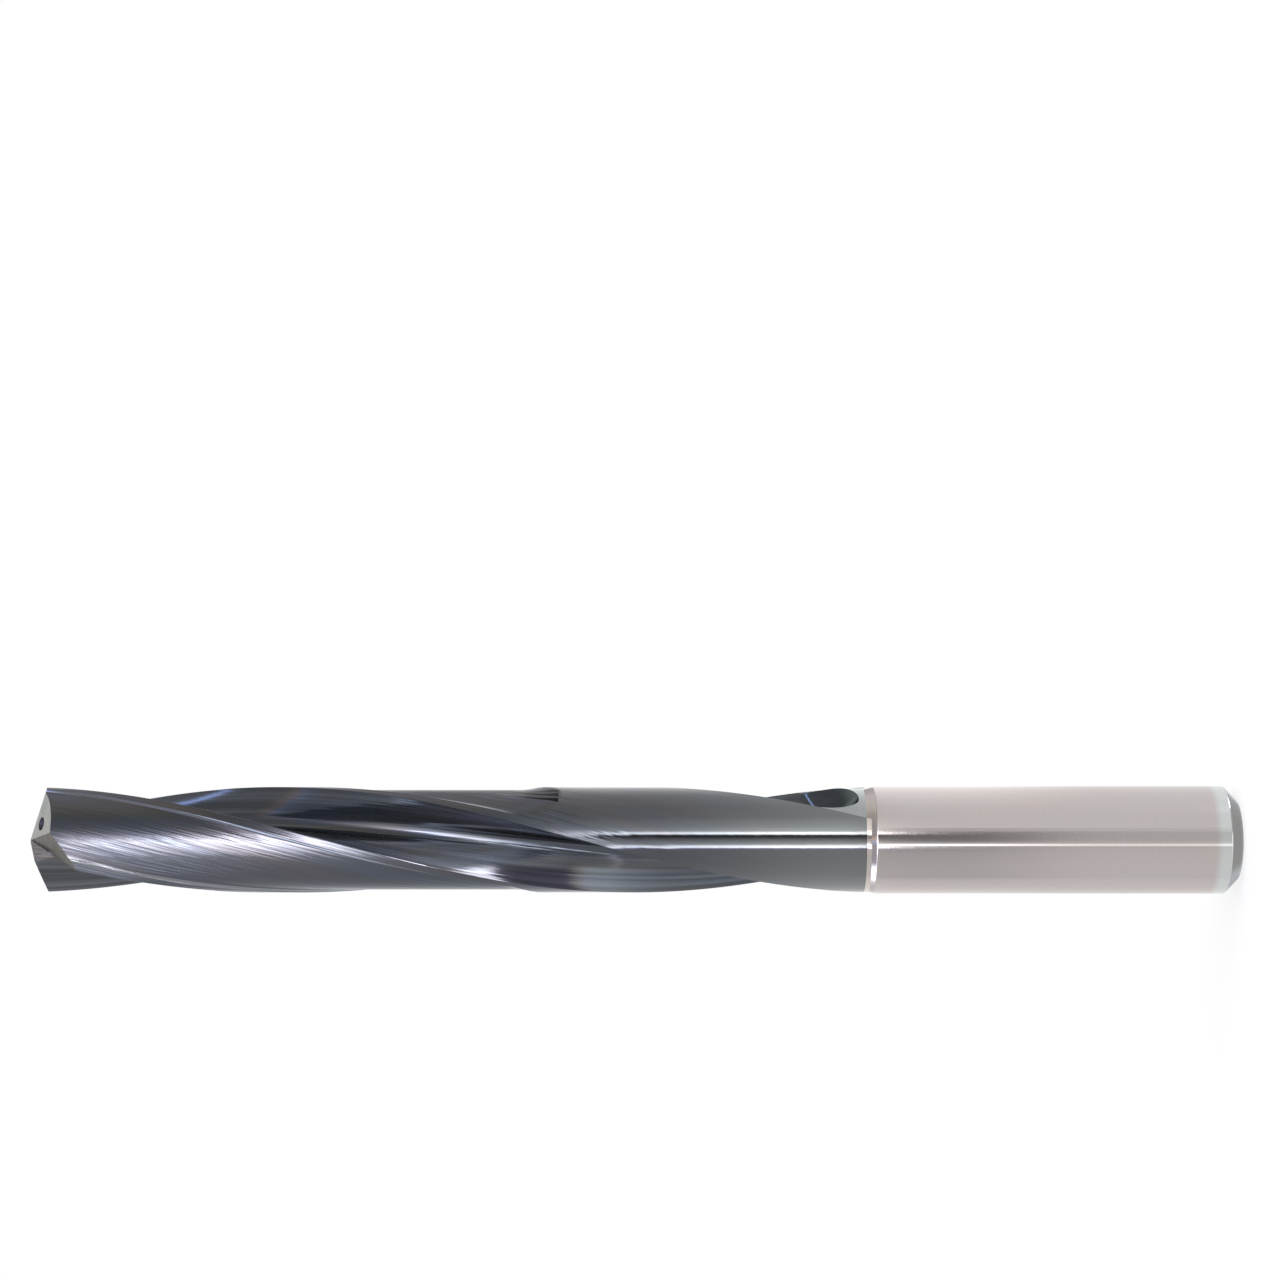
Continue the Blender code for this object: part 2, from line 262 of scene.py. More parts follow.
# Streaks that follow the helix: the noise is read in a frame that turns with the flutes
helixStreaks, taken, given = newGroup("helixStreaks", "Streaks", Across=3000.0, Along=60.0, Detail=3.0)
level = splitNode(helixStreaks, taken["Place"])[2]
backTurn = mathNode(helixStreaks, "MULTIPLY", level, -turnPerMetre)
straightened = turnNode(helixStreaks, taken["Place"], backTurn)
feed(helixStreaks, given, stretchedNoise(
    helixStreaks, straightened, [taken[name] for name in ("Across", "Across", "Along")], taken["Detail"]))

# Straight grinding lines across the point's flats
facetLines, taken, given = newGroup("facetLines", "Streaks", Turn=0.0, Across=9000.0, Along=450.0, Detail=4.0)
feed(facetLines, given, stretchedNoise(
    facetLines, turnNode(facetLines, taken["Place"], taken["Turn"]),
    [taken[name] for name in ("Across", "Along", "Along")], taken["Detail"]))

# Fine grinding rings round the axis, with a little grain
turningRings, taken, given = newGroup("turningRings", "Streaks", Rings=5200.0, Round=2600.0, Detail=3.0)
feed(turningRings, given, stretchedNoise(
    turningRings, taken["Place"], [taken[name] for name in ("Round", "Round", "Rings")], taken["Detail"]))

# Height along the drill as 0 to 1 between two levels
heightFade, taken, given = newGroup("heightFade", "Fade", Low=0.0, High=0.1)
level = splitNode(heightFade, taken["Place"])[2]
feed(heightFade, given, smoothBetween(heightFade, level, taken["Low"], taken["High"]))

# The steps beside the margins, by their distance from the axis, which carry a painted highlight on the land
stepMask, taken, given = newGroup("stepMask", "Mask", Inner=0.00555, Outer=0.00584, Soft=0.00004)
distance = vectorNode(stepMask, "LENGTH", vectorNode(stepMask, "MULTIPLY", taken["Place"], (1, 1, 0)))
wellIn = mathNode(stepMask, "ADD", taken["Inner"], taken["Soft"])
nearlyOut = mathNode(stepMask, "SUBTRACT", taken["Outer"], taken["Soft"])
pastInner = smoothBetween(stepMask, distance, taken["Inner"], wellIn)
beforeOuter = smoothBetween(stepMask, distance, taken["Outer"], nearlyOut)
feed(stepMask, given, mathNode(stepMask, "MULTIPLY", pastInner, beforeOuter))

# Short wedges that the wheel leaves where the clearance ends, counted along the helix from a start; the land
# paints them near-black as painted shade in those marks
wheelWedges, taken, given = newGroup(
    "wheelWedges", "Mask", Start=2.0, Step=0.166, Count=3.0, Low=0.0752, High=0.0812, Width=0.4, Soft=0.12)
sidewards, backwards, level = splitNode(wheelWedges, taken["Place"])
bearing = mathNode(wheelWedges, "ARCTAN2", backwards, sidewards)
bearing = mathNode(wheelWedges, "MULTIPLY_ADD", level, -turnPerMetre, bearing)
bearing = mathNode(wheelWedges, "SUBTRACT", bearing, taken["Start"])
bearing = mathNode(wheelWedges, "WRAP", bearing, math.pi, 0.0)
wedge = mathNode(wheelWedges, "DIVIDE", bearing, taken["Step"])
offMiddle = mathNode(wheelWedges, "SUBTRACT", mathNode(wheelWedges, "FRACT", wedge), 0.5)
offMiddle = mathNode(wheelWedges, "ABSOLUTE", offMiddle)
taper = feedNamed(wheelWedges, newNode(wheelWedges, "ShaderNodeMapRange"),
                  Value=level, From_Min=taken["High"], From_Max=taken["Low"], To_Max=taken["Width"])
fullAt = mathNode(wheelWedges, "SUBTRACT", taper, taken["Soft"])
onWedge = smoothBetween(wheelWedges, offMiddle, taper, fullAt)
counted = mathNode(wheelWedges, "LESS_THAN", wedge, taken["Count"])
above = mathNode(wheelWedges, "GREATER_THAN", level, taken["Low"])
onWedge = mathNode(wheelWedges, "MULTIPLY", onWedge, mathNode(wheelWedges, "MULTIPLY", counted, above))
feed(wheelWedges, given, onWedge)


def newMaterial(name, metallic):
    material = bpy.data.materials.new(name)
    material.use_nodes = True
    tree = material.node_tree
    shader = tree.nodes["Principled BSDF"]
    shader.inputs["Metallic"].default_value = metallic
    place = newNode(tree, "ShaderNodeTexCoord").outputs["Object"]
    return material, tree, shader, place


def bumpFrom(tree, shader, height, distance):
    bump = feedNamed(tree, newNode(tree, "ShaderNodeBump"), Height=height, Strength=1.0, Distance=distance)
    feed(tree, shader.inputs["Normal"], bump)


# What the coated materials share
coating = {
    "patches": {"Across": 420.0, "Along": 60.0},
    "patchRamp": [(0.35, 0.0), (0.65, 1.0)],
    "bands": {"Across": 1500.0, "Along": 16.0, "Detail": 2.0},
    "bandRamp": [(0.42, 0.0), (0.62, 1.0)],
    "wornRamp": [(0.4, 0.75), (0.6, 1.2)],
    "stepInner": drill["clearanceRadius"] + 0.02 * mm,
    "stepOuter": drill["cuttingRadius"] - 0.01 * mm,
}


def coatedMaterial(name, look):
    material, tree, shader, place = newMaterial(name, look["metallic"])
    if "linesTurn" in look:
        streaks = placeGroup(tree, facetLines, Place=place, Turn=look["linesTurn"], Across=look["across"],
                             Along=look["along"])
    else:
        streaks = placeGroup(tree, helixStreaks, Place=place, Across=look["across"], Along=look["along"])
    patches = placeGroup(tree, helixStreaks, Place=place, **coating["patches"])
    colour = mixColour(tree, rampNode(tree, patches, coating["patchRamp"]), look["cool"], look["warm"])
    bands = placeGroup(tree, helixStreaks, Place=place, **coating["bands"])
    bands = mathNode(tree, "MULTIPLY", rampNode(tree, bands, coating["bandRamp"]), look["bands"])
    colour = mixColour(tree, bands, colour, look["band"])
    fromNeck = placeGroup(tree, heightFade, Place=place, Low=coneTop, High=look["paleHigh"])
    colour = mixColour(tree, fromNeck, look["nearShank"], colour)
    if "linesTurn" in look:
        colour = mixColour(tree, 1.0, colour, rampNode(tree, streaks, coating["wornRamp"]), "MULTIPLY")
    # The margin steps near the point get a lighter colour: a painted highlight, the bright line along each
    # step
    if "step" in look:
        stepHighlightMask = placeGroup(tree, stepMask, Place=place, Inner=coating["stepInner"],
                            Outer=coating["stepOuter"])
        pastBow = placeGroup(tree, heightFade, Place=place, Low=look["stepLow"], High=look["stepHigh"])
        colour = mixColour(tree, mathNode(tree, "MULTIPLY", stepHighlightMask, pastBow), colour, look["step"])
    # The wheel's wedges get a near-black colour: painted shade in those marks
    if "wedge" in look:
        wedgeShadeMask = placeGroup(tree, wheelWedges, Place=place, Start=look["wedgeStart"], Step=look["wedgeStep"],
                            Low=look["wedgeLow"], High=look["wedgeHigh"])
        colour = mixColour(tree, wedgeShadeMask, colour, look["wedge"])
    feed(tree, shader.inputs["Base Color"], colour)
    shader.inputs["Specular Tint"].default_value = (*look["grazing"], 1)
    toTip = placeGroup(tree, heightFade, Place=place, Low=look["fadeLow"], High=look["fadeHigh"])
    rough = mathNode(tree, "MULTIPLY", streaks, look["roughSpread"])
    rough = mathNode(tree, "MULTIPLY_ADD", toTip, look["tipRoughness"], rough)
    feed(tree, shader.inputs["Roughness"], mathNode(tree, "ADD", rough, look["roughness"]))
    marks = mathNode(tree, "MULTIPLY_ADD", toTip, look["tipMarks"], look["marks"])
    bumpFrom(tree, shader, mathNode(tree, "MULTIPLY", streaks, marks), look["depth"])
    return material


landMaterial = coatedMaterial("coatedLand", {
    "cool": (0.098, 0.108, 0.126), "warm": (0.118, 0.111, 0.116), "nearShank": (0.215, 0.225, 0.230),
    "across": 3400.0, "along": 110.0, "fadeLow": 0.066, "fadeHigh": 0.078, "paleHigh": 0.068,
    "roughness": 0.05, "roughSpread": 0.04, "tipRoughness": 0.04, "marks": 0.02, "tipMarks": 0.98,
    "depth": 0.00005, "grazing": (1.0, 1.0, 1.0), "metallic": 1.0,
    "bands": 0.25, "band": (0.135, 0.14, 0.15),
    # step is the painted highlight colour on the margin steps
    "step": (0.27, 0.28, 0.31), "stepLow": 0.0815, "stepHigh": 0.0835,
    # wedge is the painted shade colour of the wheel's marks
    "wedge": (0.012, 0.012, 0.016), "wedgeStart": math.radians(116.0), "wedgeStep": math.radians(9.5),
    "wedgeLow": 0.0752, "wedgeHigh": 0.0812,
})
fluteMaterial = coatedMaterial("coatedFlute", {
    "cool": (0.075, 0.088, 0.11), "warm": (0.10, 0.095, 0.088), "nearShank": (0.07, 0.078, 0.082),
    "across": 3000.0, "along": 60.0, "fadeLow": 0.045, "fadeHigh": 0.08, "paleHigh": 0.056,
    "roughness": 0.04, "roughSpread": 0.05, "tipRoughness": 0.04, "marks": 0.15, "tipMarks": 0.35,
    "depth": 0.00003, "grazing": (0.45, 0.47, 0.5), "metallic": 0.88,
    "bands": 0.7, "band": (0.16, 0.17, 0.19),
})
neckMaterial = coatedMaterial("coatedNeck", {
    "cool": (0.36, 0.385, 0.40), "warm": (0.37, 0.385, 0.385), "nearShank": (0.38, 0.40, 0.41),
    "across": 2600.0, "along": 45.0, "fadeLow": 0.066, "fadeHigh": 0.078, "paleHigh": 0.048,
    "roughness": 0.08, "roughSpread": 0.04, "tipRoughness": 0.0, "marks": 0.03, "tipMarks": 0.0,
    "depth": 0.00002, "grazing": (1.0, 1.0, 1.0), "metallic": 1.0,
    "bands": 0.1, "band": (0.38, 0.40, 0.41),
})
facetMaterial = coatedMaterial("groundFacets", {
    "cool": (0.15, 0.16, 0.158), "warm": (0.185, 0.172, 0.162), "nearShank": (0.18, 0.18, 0.19),
    "across": 9000.0, "along": 450.0, "fadeLow": 0.10, "fadeHigh": 0.12, "paleHigh": 0.068,
    "linesTurn": math.radians(-42.0),
    "roughness": 0.16, "roughSpread": 0.14, "tipRoughness": 0.0, "marks": 0.4, "tipMarks": 0.4,
    "depth": 0.00001, "grazing": (1.0, 1.0, 1.0), "metallic": 1.0,
    "bands": 0.2, "band": (0.24, 0.24, 0.24),
})
ductMaterial = coatedMaterial("ductWall", {
    "cool": (0.06, 0.05, 0.08), "warm": (0.09, 0.08, 0.09), "nearShank": (0.10, 0.09, 0.09),
    "across": 4000.0, "along": 800.0, "fadeLow": 0.0, "fadeHigh": 0.13, "paleHigh": 0.068,
    "roughness": 0.4, "roughSpread": 0.2, "tipRoughness": 0.0, "marks": 0.5, "tipMarks": 0.0,
    "depth": 0.00003, "grazing": (0.5, 0.5, 0.5), "metallic": 0.9,
    "bands": 0.2, "band": (0.1, 0.1, 0.1),
})


# What the bare materials share
grinding = {
    "metallic": 1.0,
    "patches": {"Rings": 60.0, "Round": 200.0},
    "patchRamp": [(0.3, 0.0), (0.7, 1.0)],
    "markShare": 0.25,
}


def shankFinish(name, look):
    material, tree, shader, place = newMaterial(name, grinding["metallic"])
    rings = placeGroup(tree, turningRings, Place=place, Rings=look["rings"], Round=look["round"])
    patches = placeGroup(tree, turningRings, Place=place, **grinding["patches"])
    colour = mixColour(tree, rampNode(tree, patches, grinding["patchRamp"]), look["warm"], look["cool"])
    colour = mixColour(tree, mathNode(tree, "MULTIPLY", rings, grinding["markShare"]), colour, look["mark"])
    # The edge colour near the rim is a painted highlight, the light line a rim shows
    pastRimHighlight = placeGroup(tree, heightFade, Place=place, Low=look["rimHighlightLow"], High=look["rimHighlightHigh"])
    colour = mixColour(tree, pastRimHighlight, look["edge"], colour)
    feed(tree, shader.inputs["Base Color"], colour)
    rough = mathNode(tree, "MULTIPLY_ADD", rings, look["roughSpread"], look["roughness"])
    feed(tree, shader.inputs["Roughness"], rough)
    bumpFrom(tree, shader, rings, look["depth"])
    return material


shankMaterial = shankFinish("groundShank", {
    "warm": (0.565, 0.505, 0.49), "cool": (0.535, 0.505, 0.50), "mark": (0.40, 0.36, 0.355),
    "rings": 5200.0, "round": 2600.0, "roughness": 0.06, "roughSpread": 0.04, "depth": 0.0000006,
    # edge is a painted highlight colour next to the rim
    "edge": (0.60, 0.625, 0.62), "rimHighlightLow": 0.0024, "rimHighlightHigh": 0.0034,
})
coneMaterial = shankFinish("groundCone", {
    "warm": (0.66, 0.59, 0.55), "cool": (0.62, 0.57, 0.54), "mark": (0.5, 0.44, 0.42),
    "rings": 5200.0, "round": 2600.0, "roughness": 0.10, "roughSpread": 0.05, "depth": 0.000001,
    # edge is a painted highlight colour next to the rim
    "edge": (0.75, 0.70, 0.67), "rimHighlightLow": 0.0403, "rimHighlightHigh": 0.0405,
})
chamferMaterial = shankFinish("groundChamfer", {
    "warm": (0.36, 0.36, 0.352), "cool": (0.35, 0.352, 0.345), "mark": (0.28, 0.28, 0.275),
    "rings": 7000.0, "round": 900.0, "roughness": 0.14, "roughSpread": 0.10, "depth": 0.000001,
    # edge is a painted highlight colour next to the rim
    "edge": (0.46, 0.47, 0.46), "rimHighlightLow": 0.0, "rimHighlightHigh": 0.0004,
})
print("materials made")


def neckCrossing(outer, inner):
    # Where the line from a place above the neck's surface to one below it goes through
    step = inner - outer
    along = outer.dot(step) / step.length_squared
    above = (outer.length_squared - drill["neckRadius"]**2) / step.length_squared
    return outer - step * (along + math.sqrt(along**2 - above))


def runShares(line):
    runs = [0.0]
    for start, end in zip(line, line[1:]):
        runs.append(runs[-1] + (end - start).length)
    return [run / runs[-1] for run in runs]


def sectionOutline(bm, column):
    # One half of the section: from a heel over its land to the corner, and down the flute to the next heel
    size = drill
    radius = size["cuttingRadius"]
    inner = size["clearanceRadius"]
    heelAngle = size["fluteOpening"] - math.pi
    leadingTurn = size["leadingMargin"] / radius
    trailingTurn = size["trailingMargin"] / radius

    def filletTurn(fillet):
        hub = inner + fillet
        return math.acos((hub**2 + radius**2 - fillet**2) / (2 * hub * radius))

    def filletSweep(fillet):
        hub = inner + fillet
        return math.acos((hub**2 + fillet**2 - radius**2) / (2 * hub * fillet))

    vert = bm.verts.new(polar(radius, heelAngle))
    vert = arcTo(bm, vert, (0, 0, 0), trailingTurn, sectionSteps["margin"])
    turn = filletTurn(size["trailingFillet"])
    start = heelAngle + trailingTurn + turn
    hub = polar(inner + size["trailingFillet"], start)
    vert = arcTo(bm, vert, hub, -filletSweep(size["trailingFillet"]), sectionSteps["trailingFillet"])
    turn = filletTurn(size["leadingFillet"])
    vert = arcTo(bm, vert, (0, 0, 0), -leadingTurn - turn - start, sectionSteps["clearance"])
    hub = polar(inner + size["leadingFillet"], -leadingTurn - turn)
    vert = arcTo(bm, vert, hub, -filletSweep(size["leadingFillet"]), sectionSteps["leadingFillet"])
    vert = arcTo(bm, vert, (0, 0, 0), leadingTurn, sectionSteps["margin"])
    touch, root = fluteSide()
    # Both walls get columns a hair apart at the neck's radius, which spread out where the flute runs out
    cornerIndex = len(bm.verts) - 1
    bareWidth = size["bareSteps"] * size["hair"]
    entry = neckCrossing(vert.co, touch)
    vert = lineTo(bm, vert, entry)
    vert = lineTo(bm, vert, entry + (touch - entry).normalized() * bareWidth, size["bareSteps"])
    vert = lineTo(bm, vert, touch, sectionSteps["rake"])
    # The heel side is an arc that touches the root's arc from outside
    heel = polar(radius, size["fluteOpening"])
    reach = (heel - root).length
    centres = size["rootRadius"] + size["heelRadius"]
    bend = math.acos((centres**2 + reach**2 - size["heelRadius"]**2) / (2 * centres * reach))
    turn = azimuth(heel - root) + bend
    hub = root + polar(centres, turn)
    begin = azimuth(touch - root) % (2 * math.pi)
    vert = arcTo(bm, vert, root, turn - begin, sectionSteps["root"])
    wall = azimuth(heel - hub) - (turn - math.pi)
    reach = hub.length
    neckSquare = reach**2 + size["heelRadius"]**2 - size["neckRadius"]**2
    bend = math.acos(neckSquare / (2 * reach * size["heelRadius"]))
    rest = azimuth(heel - hub) - (azimuth(-hub) + bend)
    bare = bareWidth / size["heelRadius"]
    vert = arcTo(bm, vert, hub, wall - rest - bare, sectionSteps["heelSide"])
    vert = arcTo(bm, vert, hub, bare, size["bareSteps"])
    arcTo(bm, vert, hub, rest, 1)
    bm.verts.ensure_lookup_table()
    flute = bm.verts[cornerIndex:]
    line = [vert.co.copy() for vert in flute]
    # Columns count 1 to 2 across the neck by the corner, 2 to 3 over the open flute, 3 to 4 by the heel
    middle = flute[1 + size["bareSteps"]:-1 - size["bareSteps"]]
    for i in range(size["bareSteps"]):
        flute[1 + i][column] = 1 + i / size["bareSteps"]
        flute[-2 - i][column] = 4 - i / size["bareSteps"]
    for vert, share in zip(middle, runShares([vert.co for vert in middle])):
        vert[column] = 2 + share
    return line


def fluteSide():
    corner = polar(drill["cuttingRadius"], 0)
    root = polar(drill["webRadius"] + drill["rootRadius"], drill["rootLead"])
    reach = (root - corner).length
    direction = azimuth(root - corner) + math.asin(drill["rootRadius"] / reach)
    touch = corner + polar(math.sqrt(reach**2 - drill["rootRadius"]**2), direction)
    return touch, root


def wheelRise(height, start, length, depth):
    rim = (length**2 + depth**2) / (2 * depth)
    travel = min(max(start - height, 0), length)
    return rim - math.sqrt(rim**2 - travel**2)


def closingRise():
    # How far the flute's outline rises until its root is out of the neck
    root = fluteSide()[1]
    along = root.dot(polar(1, drill["runoutTurn"]))
    clear = drill["neckRadius"] + drill["rootRadius"]
    return math.sqrt(along**2 - root.length_squared + clear**2) - along


def openLine(line, rise):
    # What is left of the flute's outline below the neck's surface when it has risen
    lifted = [place + polar(rise, drill["runoutTurn"]) for place in line]
    below = [i for i, place in enumerate(lifted) if place.length < drill["neckRadius"]]
    if not below:
        closed = polar(drill["neckRadius"], azimuth(fluteSide()[1] + polar(rise, drill["runoutTurn"])))
        return [closed, closed * drill["pinch"]]
    first, last = below[0], below[-1]
    return [neckCrossing(lifted[first - 1], lifted[first])] + lifted[first:last + 1] + [
        neckCrossing(lifted[last + 1], lifted[last])]


def risenPlace(column, full, left, shares):
    # A column's place in a section whose flute may have run out in part
    if 2 <= column <= 3:
        i = max(k for k, before in enumerate(shares[:-1]) if before <= column - 2)
        return left[i].lerp(left[i + 1], (column - 2 - shares[i]) / max(shares[i + 1] - shares[i], 1e-9))
    end, share = (0, column - 1) if column < 2 else (-1, 4 - column)
    wall, edge = azimuth(full[end]), azimuth(left[end])
    if abs(edge - wall) < drill["bareLeast"]:
        return polar(drill["neckRadius"], edge)
    return polar(drill["neckRadius"], wall + (edge - wall) * share)


def makeBody():
    size = drill
    bm = bmesh.new()
    column = bm.verts.layers.float.new("column")
    line = sectionOutline(bm, column)
    half = list(bm.verts) + list(bm.edges)
    copied = bmesh.ops.duplicate(bm, geom=half)["geom"]
    turned = [part for part in copied if isinstance(part, bmesh.types.BMVert)]
    for vert in turned:
        vert[column] *= -1
    bmesh.ops.rotate(bm, verts=turned, cent=(0, 0, 0), matrix=Matrix.Rotation(math.pi, 3, "Z"))
    bmesh.ops.remove_doubles(bm, verts=bm.verts, dist=size["hair"] / 5)
    face = bmesh.ops.contextual_create(bm, geom=list(bm.edges))["faces"][0]
    crisp = [0.0, size["fluteOpening"], math.pi, math.pi + size["fluteOpening"]]
    corners = [vert for vert in bm.verts if any(
        (vert.co - polar(size["cuttingRadius"], angle)).length < size["nearCorner"] for angle in crisp)]
    bmesh.ops.bevel(bm, geom=corners, offset=size["edgeHone"], affect="VERTICES", segments=2,
                    profile=0.5, material=-1)
    bmesh.ops.delete(bm, geom=list(bm.faces), context="FACES_ONLY")
    for vert in bm.verts:
        if vert.co.length > size["neckRadius"] + size["hair"]:
            vert[column] = 0
    bottom = size["shankLength"] - size["overlap"]
    bmesh.ops.translate(bm, verts=bm.verts, vec=(0, 0, bottom))
    bmesh.ops.rotate(bm, verts=bm.verts, cent=(0, 0, 0),
                     matrix=Matrix.Rotation(size["cornerAzimuth"] + twistAt(bottom), 3, "Z"))
    ring = list(bm.edges) + list(bm.verts)
    # Each stretch ends at a height, and is finer where the flutes and the clearance run out
    stretches = (
        (coneTop, 1),
        (fluteEnd, 1),
        (fluteEnd + size["closingLength"], 20),
        (fluteEnd + size["mouthLength"], 6),
        (fullDepthEnd, 2),
        (clearanceEnd, 1),
        (clearanceEnd + size["clearanceRunout"] + size["clearanceBow"], 1.5),
        (size["overallLength"] + size["overlap"], 1),
    )
    low = bottom
    for high, fineness in stretches:
        angle = twistAt(high) - twistAt(low)
        steps = math.ceil(angle / size["twistStep"] * fineness)
        rise = (0, 0, (high - low) / steps)
        ring = bmesh.ops.spin(bm, geom=ring, axis=(0, 0, 1), dvec=rise, angle=angle, steps=steps)["geom_last"]
        low = high
    runOut(bm, column, line)
    # Columns that stand together where the flute is whole, and where it has closed, become one
    bmesh.ops.remove_doubles(bm, verts=bm.verts, dist=size["mergeWithin"])
    bmesh.ops.holes_fill(bm, edges=openEdges(bm))
    bmesh.ops.recalc_face_normals(bm, faces=bm.faces)
    neckLeast = size["neckRadius"] - size["nearCorner"]
    for face in bm.faces:
        middle = face.calc_center_median()
        inFlute = any(vert[column] != 0 for vert in face.verts)
        onNeck = inFlute and all(vert.co.xy.length > neckLeast for vert in face.verts)
        if middle.z < coneTop:
            face.material_index = bodySlots["bare"]
        elif onNeck and middle.z < fullDepthEnd:
            face.material_index = bodySlots["neck"]
        elif inFlute:
            face.material_index = bodySlots["flute"]
    cutFlats(bm)
    return meshFrom(bm, "drillBody")


def runOut(bm, column, line):
    size = drill
    relief = size["cuttingRadius"] - size["clearanceRadius"]
    depth = closingRise()
    full = openLine(line, 0)
    sections = {}
    heel = size["fluteOpening"] - math.pi
    trailing = heel + size["trailingMargin"] / size["cuttingRadius"]
    leading = -size["leadingMargin"] / size["cuttingRadius"]
    for vert in bm.verts:
        z = vert.co.z
        turn = size["cornerAzimuth"] + twistAt(z)
        if vert[column] != 0:
            rise = wheelRise(z, fullDepthEnd, size["runoutLength"], depth)
            if rise not in sections:
                left = openLine(line, rise)
                sections[rise] = (left, runShares(left))
            if vert[column] < 0:
                turn += math.pi
            place = risenPlace(abs(vert[column]), full, *sections[rise])
            vert.co.xy = (Matrix.Rotation(turn, 3, "Z") @ place).xy
        elif vert.co.xy.length < size["cuttingRadius"]:
            # The clearance ends in a bow, which is nearer the tip beside the margins
            place = heel + (azimuth(vert.co) - turn - heel) % math.pi
            across = (2 * place - trailing - leading) / (leading - trailing)
            start = clearanceEnd + size["clearanceRunout"] + size["clearanceBow"] * across**2
            risen = wheelRise(z, start, size["clearanceRunout"], relief)
            vert.co.xy *= 1 + (size["cuttingRadius"] / vert.co.xy.length - 1) * risen / relief


def pointPlanes():
    fall = 1 / math.tan(point["angle"] / 2)
    touch = fluteSide()[0]
    ends = [touch, polar(drill["cuttingRadius"], 0)]
    inner, corner = [Matrix.Rotation(twistAt(drill["overallLength"] - end.length * fall), 3, "Z") @ end
                     for end in ends]
    lip = azimuth(corner - inner)
    along = polar(1, lip)
    back = polar(1, lip - math.pi / 2)
    edge = point["primaryWidth"] + corner.dot(back)
    primary = along * fall + back * math.tan(point["primaryRelief"])
    secondary = along * fall + back * math.tan(point["secondaryRelief"])
    secondaryDepth = (primary - secondary).dot(back) * edge
    across = polar(1, lip - point["heelFacetTurn"] - math.pi / 2)
    heel = secondary + across * (math.tan(point["heelRelief"]) - secondary.dot(across))
    heelDepth = secondaryDepth + (secondary - heel).dot(back * edge)
    innerLip = lip + point["thinningTurn"]
    gash = polar(1 / math.tan(point["gashAngle"]), innerLip)
    wall = polar(1, innerLip + math.pi / 2)
    # Each facet by its slope and how far below the tip it meets the axis, and each pocket also by its wall
    flats = [(primary, 0.0), (secondary, secondaryDepth)]
    pockets = {
        "heel": (heel, heelDepth, -wall, point["chiselWeb"] / 2 + point["heelGap"]),
        "gash": (gash, 0.0, wall, point["chiselWeb"] / 2),
    }
    return flats, pockets


def cutFlats(bm):
    for slope, depth in pointPlanes()[0]:
        for half in range(2):
            turn = Matrix.Rotation(drill["cornerAzimuth"] + half * math.pi, 3, "Z")
            normal = turn @ Vector((slope.x, slope.y, 1))
            everything = list(bm.verts) + list(bm.edges) + list(bm.faces)
            bmesh.ops.bisect_plane(bm, geom=everything, plane_co=(0, 0, drill["overallLength"] - depth),
                                   plane_no=normal, clear_outer=True)
            for face in bmesh.ops.holes_fill(bm, edges=openEdges(bm))["faces"]:
                face.material_index = bodySlots["facets"]
    bmesh.ops.recalc_face_normals(bm, faces=bm.faces)


def makePocket(name, slope, depth, wall, wallOffset, half):
    bm = bmesh.new()
    bmesh.ops.create_cube(bm, size=point["cutterSize"])
    bmesh.ops.translate(bm, verts=bm.verts, vec=(0, 0, drill["overallLength"]))
    sides = (
        (Vector((0, 0, drill["overallLength"] - depth)), Vector((slope.x, slope.y, 1))),
        (wall * wallOffset, wall),
    )
    for place, normal in sides:
        everything = list(bm.verts) + list(bm.edges) + list(bm.faces)
        bmesh.ops.bisect_plane(bm, geom=everything, plane_co=place, plane_no=normal, clear_inner=True)
        bmesh.ops.holes_fill(bm, edges=openEdges(bm))
    bmesh.ops.rotate(bm, verts=bm.verts, cent=(0, 0, 0),
                     matrix=Matrix.Rotation(drill["cornerAzimuth"] + half * math.pi, 3, "Z"))
    bmesh.ops.recalc_face_normals(bm, faces=bm.faces)
    return meshFrom(bm, name)


def makeDuct(half):
    bm = bmesh.new()
    ring = bmesh.ops.create_circle(bm, segments=ducts["sides"], radius=ducts["radius"])["verts"]
    low = -drill["overlap"]
    high = drill["overallLength"] + drill["overlap"]
    sweep = twistAt(high) - twistAt(low)
    steps = math.ceil(sweep / ducts["twistStep"])
    # The circle is tipped square to the duct's own helix
    slope = math.atan(ducts["pitchRadius"] * turnPerMetre)
    bmesh.ops.rotate(bm, verts=ring, cent=(0, 0, 0), matrix=Matrix.Rotation(-slope, 3, "X"))
    bmesh.ops.translate(bm, verts=ring, vec=(ducts["pitchRadius"], 0, low))
    start = drill["cornerAzimuth"] - ducts["lag"] + twistAt(low) + half * math.pi
    bmesh.ops.rotate(bm, verts=ring, cent=(0, 0, 0), matrix=Matrix.Rotation(start, 3, "Z"))
    bmesh.ops.spin(bm, geom=list(bm.verts) + list(bm.edges), axis=(0, 0, 1), angle=sweep, steps=steps,
                   dvec=(0, 0, (high - low) / steps))
    bmesh.ops.holes_fill(bm, edges=openEdges(bm))
    bmesh.ops.recalc_face_normals(bm, faces=bm.faces)
    return meshFrom(bm, "duct")


